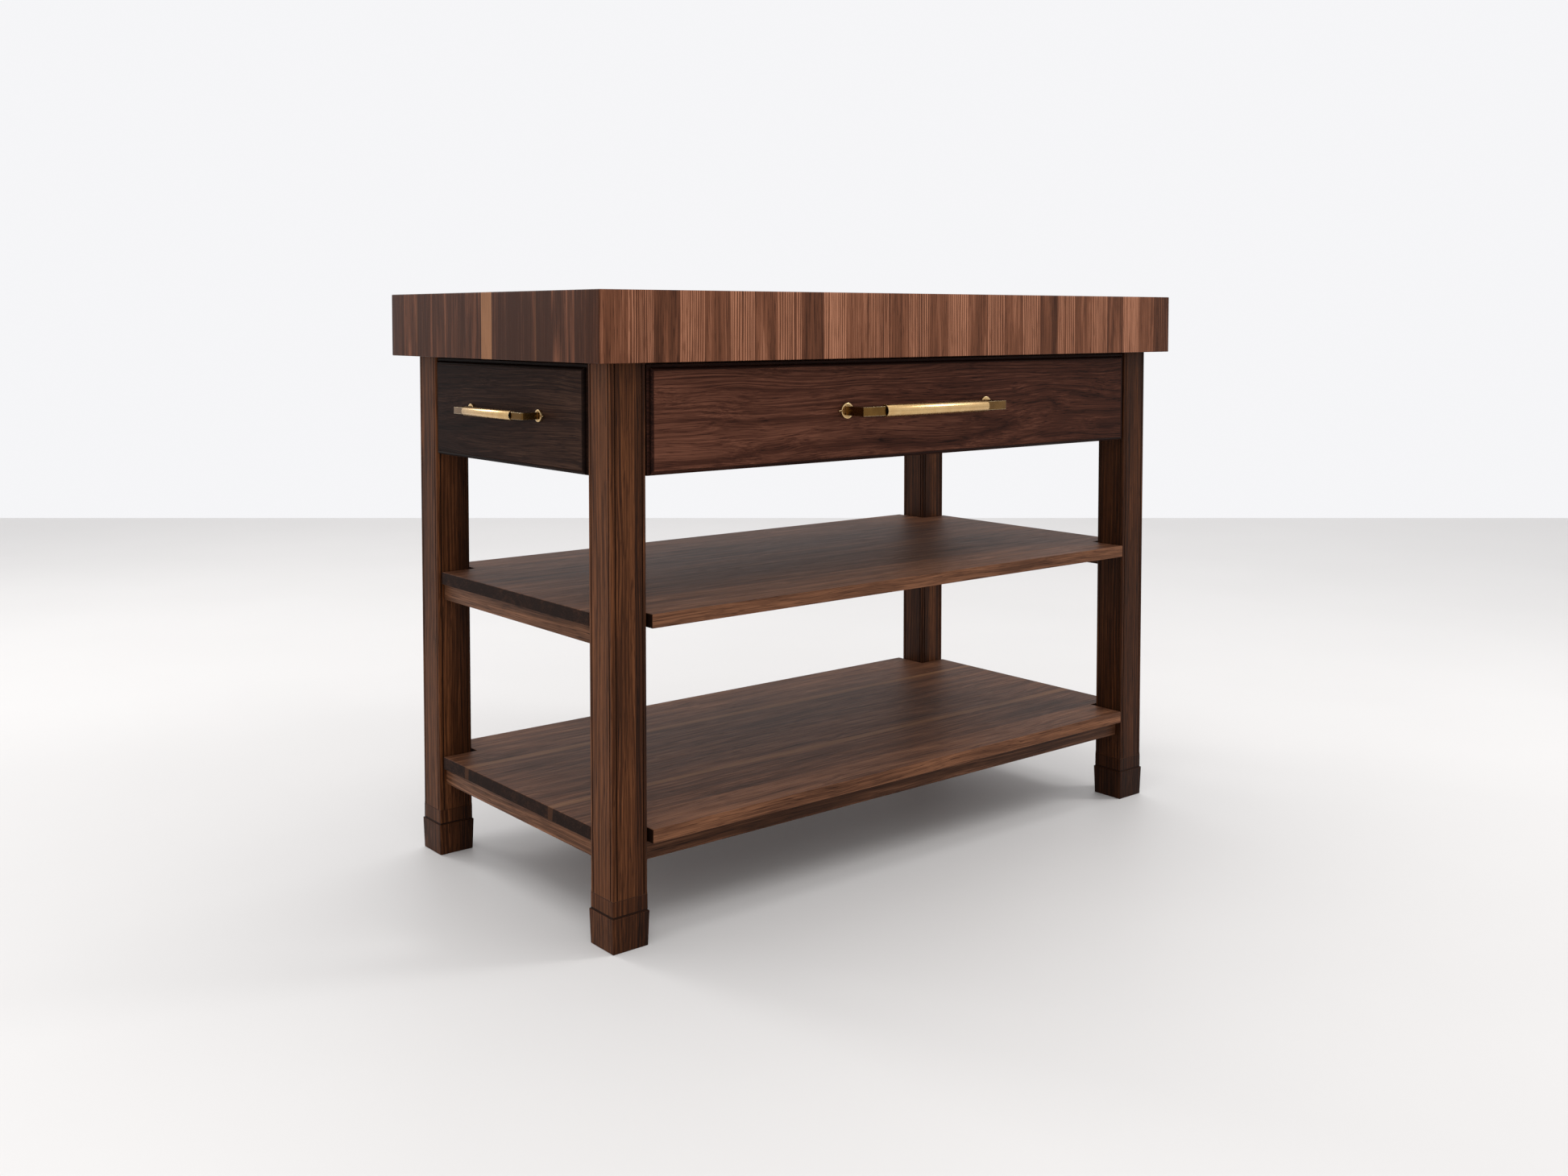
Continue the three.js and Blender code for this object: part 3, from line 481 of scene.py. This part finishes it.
for name, (joints, tones, sap_side) in shelf_boards.items():
    low, high = (np.array(corner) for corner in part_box(name))
    notch_low, notch_high = leg_low + 2 * LEG_HALF + NOTCH_GAP, leg_high - 2 * LEG_HALF - NOTCH_GAP
    xs = [low[0], notch_low[0], notch_high[0], high[0]]
    joint_ys = middle_y + np.array(joints) * MM
    ys = np.unique(np.round([low[1], notch_low[1], *joint_ys, notch_high[1], high[1]], 6))
    inside_x = (np.array(xs[:-1]) > notch_low[0] - MM) & (np.array(xs[1:]) < notch_high[0] + MM)
    inside_y = (ys[:-1] > notch_low[1] - MM) & (ys[1:] < notch_high[1] + MM)
    points, faces = slab(xs, ys, inside_x[:, None] | inside_y[None, :], low[2], high[2])
    middle = points[faces].mean(1)
    board = np.searchsorted(joint_ys, middle[:, 1] - 1e-6)
    edges = np.concatenate([[low[1]], joint_ys, [high[1]]])
    board_middle = (edges[1:] + edges[:-1]) / 2 / MM
    width = np.diff(edges) / MM
    pith_y = board_middle + chance.uniform(-30, 30, 5)
    side = np.array(sap_side)
    pith_y = np.where(side != 0, board_middle - side * SAP_PITH_MM, pith_y)
    pith_z = low[2] / MM - np.where(side != 0, SAP_DROP_MM, chance.uniform(35, 70, 5))
    heart = np.where(side != 0, SAP_PITH_MM + width / 2 - SAP_MM, 0)
    pith = np.stack([chance.uniform(-600, 600, 5), pith_y, pith_z], -1)
    cut = np.stack([np.array(tones), heart, 0 * width], -1)[board]
    cut[:, 0] += END_TONE * ((middle[:, 0] < low[0] + MM) | (middle[:, 0] > high[0] - MM))
    # The walls of the notches are the upright faces that lie inside the shelf's outline.
    within = np.all((middle[:, :2] > low[:2] + MM) & (middle[:, :2] < high[:2] - MM), 1)
    upright = (middle[:, 2] > low[2] + MM) & (middle[:, 2] < high[2] - MM)
    # Painted shade: the notch walls are darkened like shaded slits round the legs.
    cut[within & upright, 0] = NOTCH_SHADE_TONE
    shelf = make("walnut_" + name, points, faces, shelf_walnut, pith[board], cut)
    edge_round(shelf, SHELF_EASE)
    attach(shelf, "carcass")
    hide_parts(name)

# ---------------------------------------------------------------- the drawer fronts
# A dark flat-sawn walnut panel with its field raised by an ovolo and a thin quirk, and a flat fillet outside it
# that is almost lost at the bottom edge. The grain runs across the drawer.

OVOLO, FILLET, FILLET_BOTTOM, QUIRK = 4.6 * MM, 4 * MM, 0.8 * MM, 0.7 * MM
FRONT_EASE = 0.5 * MM
LEFT_TONE, PAINTED_LIGHT_FALL = 0.35, 0.7  # the field's tone at its left, and how much it falls to the right, a painted light that is brighter at the left
MOULDING_SHADE_TONE, RIM_HIGHLIGHT_TONE = -1.2, 0.8  # painted shade on the moulding and a painted highlight on the rim, added to it
FRONT_PITH_MM = (180, 30, 35)  # from the table's middle along the grain, behind the back, above the bottom edge


def panel_surface(half_width, bottom, top, back, out):
    """Points and faces of a moulded front facing -Y: rectangles that step in from the back edge over the fillet,
    up the ovolo (in by R (1 - cos a), out by R sin a) and over the quirk to the field, joined ring to ring."""
    angles = np.radians([0, 15, 30, 45, 60, 75, 90])
    inset = np.concatenate([[0, 0, FRONT_EASE], FILLET + OVOLO * (1 - np.cos(angles)),
                            FILLET + OVOLO + QUIRK * np.array([0.35, 0.7, 1.1])])
    rise = np.concatenate([[back, out + OVOLO + FRONT_EASE, out + OVOLO], out + OVOLO * (1 - np.sin(angles)),
                           out + QUIRK * np.array([1, 0.9, 0])])
    below = np.where(inset > FRONT_EASE, inset - (FILLET - FILLET_BOTTOM), inset)
    left, right = -half_width + inset, half_width - inset
    points = np.stack([
        np.stack([left, rise, bottom + below], -1), np.stack([right, rise, bottom + below], -1),
        np.stack([right, rise, top - inset], -1), np.stack([left, rise, top - inset], -1)], 1)
    faces = quads(len(inset), 4, across=True).tolist()
    last = 4 * (len(inset) - 1)
    faces += [[3, 2, 1, 0], [last, last + 1, last + 2, last + 3]]
    return points.reshape(-1, 3), faces


def face_out(points, grain):
    """Turns points drawn facing -Y to face -X, for the drawer in the left end, whose grain runs along Y."""
    return points[:, [1, 0, 2]] * (1, -1, 1) if grain == "y" else points


# Darker, plainer walnut than the legs, its broad rings bent into soft flames.
front_walnut = {
    "x": timber("satin lacquered dark walnut, lengthwise", "x", "#1c0d09", "#41241a", "#6c4434", ring=8.0,
                drift=26.0, gloss=0.04, stripe=-0.3, cloud=0.25),
    "y": timber("satin lacquered dark walnut, crosswise", "y", "#130a07", "#271711", "#463024", ring=10.0,
                drift=20.0, gloss=0.03, stripe=-0.3, cloud=0.3),
}
for name, grain in (("front_drawer", "x"), ("end_drawer", "y")):
    low, high = (np.array(corner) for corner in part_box(name + "_front"))
    across, out = ("xy".index(grain), "yx".index(grain))
    points, faces = panel_surface((high[across] - low[across]) / 2, low[2], high[2], high[out], low[out])
    points = face_out(points, grain)
    points[:, across] += (high[across] + low[across]) / 2
    span = (points[:, across] - low[across]) / (high[across] - low[across])
    # The last four points are the field's corners, and the four before them its rim, which gets a painted
    # highlight; all the points outside them get painted shade.
    # Painted light: the field is lightest at the left and darkest at the right.
    tones = LEFT_TONE - PAINTED_LIGHT_FALL * span
    tones[:-8] += MOULDING_SHADE_TONE
    tones[-8:-4] += RIM_HIGHLIGHT_TONE
    pith = np.zeros(3)
    pith[[across, out, 2]] = FRONT_PITH_MM + np.array([0, high[out], low[2]]) / MM
    cut = np.stack([tones, 0 * tones, 0 * tones], -1)
    panel = make(name + "_moulded_front", points, faces, front_walnut[grain], np.tile(pith, (len(points), 1)), cut,
                 domain="POINT", crease=math.radians(20))
    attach(panel, name)
    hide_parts(name + "_front")

# ---------------------------------------------------------------- the pulls
# Satin brass: a flat bar bent to a U, a turned grip sleeve over it, and at each post a round rose with a raised
# rim and a small tab that stops the post from turning.

INNER_TURN, OUTER_TURN = 1.5 * MM, 2 * MM  # radii of the bar's corners
SLEEVE_WALL, SLEEVE_EASE = 1.2 * MM, 0.5 * MM
SCREW_HOLE = 2.5 * MM  # radius
TAB_START, TAB_REACH, TAB_HALF, TAB_EASE = -1.5 * MM, 5 * MM, 0.8 * MM, 0.3 * MM


def satin_metal(name, shade, bright, arris):
    """Metal whose colour wanders between shade and bright, dulled by fine brushing, with arrises worn bright."""
    metal = bpy.data.materials.new(name)
    metal.use_nodes = True
    tree = metal.node_tree
    tree.nodes.clear()
    place = node(tree, "TexCoord", output="Object")
    # Strokes 4 mm long and 0.7 mm apart, coarser than real brushing, which is too fine to show. Stains are 17 mm
    # across.
    stroke_length, stroke_width = 4 * MM, MM / 1.5
    brushing = node(tree, "VectorMath", {0: place, 1: (1 / stroke_length, 1 / stroke_length, 1 / stroke_width)},
                    operation="MULTIPLY")
    brushing = node(tree, "TexNoise", {"Vector": brushing, "Scale": 1.0, "Detail": 2.0})
    mottle = node(tree, "TexNoise", {"Vector": place, "Scale": 60.0, "Detail": 2.0})
    colour = node(tree, "Mix", {0: mottle, 6: linear(shade), 7: linear(bright)}, 2, data_type="RGBA")
    rounded = node(tree, "Bevel", {"Radius": 0.8 * MM}, samples=4)
    true = node(tree, "NewGeometry", output="Normal")
    worn = node(tree, "VectorMath", {0: rounded, 1: true}, "Value", operation="DOT_PRODUCT")
    worn = node(tree, "MapRange", {0: worn, 1: 0.99, 2: 0.9})
    colour = node(tree, "Mix", {0: worn, 6: colour, 7: linear(arris)}, 2, data_type="RGBA")
    rough = node(tree, "MapRange", {0: brushing, 1: 0.3, 2: 0.7, 3: 0.24, 4: 0.32})
    bump = node(tree, "Bump", {"Height": brushing, "Strength": 0.05, "Distance": 0.02 * MM})
    shader = node(tree, "BsdfPrincipled", {
        "Base Color": colour, "Metallic": 1.0, "Roughness": rough, "Normal": bump})
    node(tree, "OutputMaterial", {"Surface": shader})
    return metal


# The turned pieces catch long soft highlights. The bar's flats are painted duller and browner as a painted dark
# reflection, with bright edges.
bright_brass = satin_metal("satin brass, turned and lacquered", "#bd9660", "#dcbd8a", "#f4e2b8")
flat_brass = satin_metal("satin brass, flats painted darker as a dark reflection", "#5a4020", "#7c5c30", "#f4e2b8")


def turned(profile, middle, axis, sides=48):
    """Points and quads of a closed profile of (distance along, radius) turned about a line through the middle
    along an axis, 0 for X or 1 for Y: the point at angle a is (along, radius cos a, radius sin a)."""
    along, radius = np.array(profile, float).T
    angle = np.linspace(0, 2 * np.pi, sides, endpoint=False)
    points = np.zeros((len(along), sides, 3))
    points[..., axis] = along[:, None]
    points[..., (axis + 1) % 3] = radius[:, None] * np.cos(angle)
    points[..., (axis + 2) % 3] = radius[:, None] * np.sin(angle)
    numbers = np.arange(len(along) * sides).reshape(len(along), sides)
    here, there = numbers, np.roll(numbers, -1, 0)
    faces = np.stack([here, np.roll(here, -1, 1), np.roll(there, -1, 1), there], -1).reshape(-1, 4)
    return points.reshape(-1, 3) + middle, faces


def bent_bar(centres, depth, reach, foot, height):
    """Points and faces of a U in plan, opening to +Y, carried up its height: a flat bar with two posts, whose
    corners are arcs (x = middle + r cos a, y = middle - r sin a) between straights."""
    turn = np.radians([0, 30, 60, 90])
    far, near = centres / 2 + depth / 2, centres / 2 - depth / 2
    inner_x, inner_y = near - INNER_TURN, -reach + depth + INNER_TURN
    outer_x, outer_y = far - OUTER_TURN, -reach + OUTER_TURN
    inside = np.concatenate([
        [[near, -foot]],
        np.stack([inner_x + INNER_TURN * np.cos(turn), inner_y - INNER_TURN * np.sin(turn)], -1),
    ])
    outside = np.concatenate([
        np.stack([outer_x + OUTER_TURN * np.sin(turn), outer_y - OUTER_TURN * np.cos(turn)], -1),
        [[far, -foot]],
    ])
    outline = np.concatenate([outside, inside, inside[::-1] * (-1, 1), outside[::-1] * (-1, 1)])
    count = len(outline)
    points = np.concatenate([np.column_stack([outline, np.full(count, z)]) for z in (-height / 2, height / 2)])
    ring = np.arange(count)
    faces = np.stack([ring, np.roll(ring, -1), np.roll(ring, -1) + count, ring + count], -1).tolist()
    return points, faces + [ring[::-1].tolist(), (ring + count).tolist()]


for name, grain in (("front_drawer", "x"), ("end_drawer", "y")):
    across, out = ("xy".index(grain), "yx".index(grain))
    bar_low, bar_high = (np.array(corner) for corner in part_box(name + "_pull_bar"))
    grip_low, grip_high = (np.array(corner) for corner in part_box(name + "_pull_grip"))
    rose_low, rose_high = (np.array(corner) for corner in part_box(name + "_pull_rose_right"))
    rose_thickness = rose_high[out] - rose_low[out]
    face = rose_high[out]  # of the drawer front
    reach = face - bar_low[out]
    rose_radius = (rose_high[2] - rose_low[2]) / 2
    grip_radius = (grip_high[2] - grip_low[2]) / 2
    depth = 2 * (grip_low[out] + grip_radius - bar_low[out])
    centres = bar_high[across] - bar_low[across] - depth
    height = bar_high[2] - bar_low[2]
    middle = (bar_low + bar_high) / 2
    middle[out] = face

    points, faces = bent_bar(centres, depth, reach, rose_thickness, height)
    bar = make(name + "_brass_bar", face_out(points, grain) + middle, faces, flat_brass)
    edge_round(bar, 0.5 * MM, 2)

    half, r, ease = (grip_high[across] - grip_low[across]) / 2, grip_radius, SLEEVE_EASE
    sleeve_end = np.array([(0, r - SLEEVE_WALL), (0, r - ease), (0.3 * ease, r - 0.3 * ease), (ease, r)])
    sleeve = np.concatenate([sleeve_end + (-half, 0), sleeve_end[::-1] * (-1, 1) + (half, 0)])
    points, faces = turned(sleeve, (0, -reach + depth / 2, 0), 0)
    grip = make(name + "_brass_grip", face_out(points, grain) + middle, faces, bright_brass)

    t, r = rose_thickness, rose_radius
    pieces = [(bar, "_pull_bar"), (grip, "_pull_grip")]
    for word, side in (("left", -1), ("right", 1)):
        # From the sunk face of the rose over its rim to its back.
        points, faces = turned([
            (-t + 0.5 * MM, SCREW_HOLE), (-t + 0.5 * MM, r - 2.6 * MM), (-t, r - 2.2 * MM), (-t, r - MM),
            (-t + 0.4 * MM, r - 0.3 * MM), (-t + 1.2 * MM, r), (0, r), (0, SCREW_HOLE),
        ], (side * centres / 2, 0, 0), 1)
        rose = make(f"{name}_brass_rose_{word}", face_out(points, grain) + middle, faces, bright_brass)
        pieces.append((rose, f"_pull_rose_{word}"))
        tab_x = np.sort(side * (centres / 2 + r + np.array([TAB_START, TAB_REACH])))
        points, faces = eased_box((tab_x[0], -t, -TAB_HALF), (tab_x[1], -0.5 * MM, TAB_HALF), TAB_EASE)
        tab = make(f"{name}_brass_tab_{word}", face_out(points, grain) + middle, faces, bright_brass)
        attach(tab, name)
    for piece, replaced in pieces:
        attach(piece, name)
        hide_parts(name + replaced)

# ---------------------------------------------------------------- drawer boxes and slides
# The boxes are clear lacquered maple, pale and fine grained. The slides and screws are zinc plated steel, dull
# silver with a faint cool cast.

# Clear lacquer over maple shines a little, and its faint rings and pale streaks barely show.
maple = {grain: timber(f"clear lacquered maple, {word}", grain, "#b99b73", "#cfb48c", "#dfcaa6", ring=14.0,
                       sheen=0.4, gloss=0.4, stripe=-0.08, cloud=0.3)
         for grain, word in (("x", "lengthwise"), ("y", "crosswise"))}

# Bright zinc plate gives blurred grey reflections.
zinc = satin_metal("zinc plated steel", "#9fa4a8", "#c3c8cc", "#d8dcdf")

for name, lengthwise, crosswise in (("front_drawer", "x", "y"), ("end_drawer", "y", "x")):
    for part, grain in (("subfront", lengthwise), ("back", lengthwise), ("bottom", lengthwise),
                        ("side_left", crosswise), ("side_right", crosswise)):
        refinish(f"{name}_{part}", maple[grain])
    for side in ("left", "right"):
        for part in ("slide_fixed", "slide_middle", "slide_drawer", "pull_screw"):
            refinish(f"{name}_{part}_{side}", zinc)

# ---------------------------------------------------------------- studio
# A pale floor, soft light from all round and above, and a camera at chest height off the left front corner.

VIEW_TURN, VIEW_FALL = math.radians(-39.299), math.radians(2.804)
SIDE_REACH, FAR_REACH = 12, 4.1  # metres of floor each side of the table and towards the camera, and beyond it
floor_x = SIDE_REACH * np.array([-1, 1, 1, -1])  # across the view
floor_y = np.array([-SIDE_REACH, -SIDE_REACH, FAR_REACH, FAR_REACH])  # out from it
points = np.stack([floor_x * math.cos(VIEW_TURN) - floor_y * math.sin(VIEW_TURN),
                   floor_x * math.sin(VIEW_TURN) + floor_y * math.cos(VIEW_TURN), 0 * floor_x], -1)
pale_floor = bpy.data.materials.new("pale painted boards")
pale_floor.use_nodes = True
tree = pale_floor.node_tree
tree.nodes.clear()
place = node(tree, "TexCoord", output="Object")
mottle = node(tree, "TexNoise", {"Vector": place, "Scale": 1.5, "Detail": 3.0})
colour = node(tree, "Mix", {0: mottle, 6: linear("#d7d5d3"), 7: linear("#dddbd9")}, 2, data_type="RGBA")
shader = node(tree, "BsdfPrincipled", {"Base Color": colour, "Roughness": 0.55})
node(tree, "OutputMaterial", {"Surface": shader})
floor = make("floor", points, [(0, 1, 2, 3)], pale_floor)

world = bpy.data.worlds.new("white room")
bpy.context.scene.world = world
world.use_nodes = True
world.node_tree.nodes["Background"].inputs["Color"].default_value = linear("#fafafc")
world.node_tree.nodes["Background"].inputs["Strength"].default_value = 0.96

# Each lamp's place, what it points at, its side in metres and its watts.
for name, place, aim, size, power in (
        ("overhead panel", (0.0, 0.4, 4.2), (0, 0, 0), 3.5, 45),
        ("back window", (-1.4, 3.2, 2.5), (-0.4, 0, 0.7), 1.0, 28),
        ("right lamp", (2.1, -1.5, 2.5), (0, -0.3, 0.7), 0.6, 22),
        ("front lamp", (-2.2, -2.6, 3.0), (-0.5, 0, 0.7), 0.8, 20)):
    lamp = bpy.data.lights.new(name, "AREA")
    lamp.shape, lamp.size, lamp.energy = "SQUARE", size, power
    hung = bpy.data.objects.new(name, lamp)
    bpy.context.scene.collection.objects.link(hung)
    hung.location = place
    hung.visible_camera = False
    x, y, z = np.array(aim) - np.array(place)
    hung.rotation_euler = (math.atan2(math.hypot(x, y), -z), 0, math.atan2(y, x) - math.pi / 2)

lens = bpy.data.cameras.new("camera")
lens.sensor_width, lens.lens, lens.shift_y = 36, 35.42, -0.1233
lens.clip_end = 100
camera = bpy.data.objects.new("camera", lens)
bpy.context.scene.collection.objects.link(camera)
camera.location = (-1.7102, -2.0303, 0.8741)
camera.rotation_euler = (math.radians(90) - VIEW_FALL, 0, VIEW_TURN)
bpy.context.scene.camera = camera
bpy.context.scene.view_settings.view_transform = "Standard"
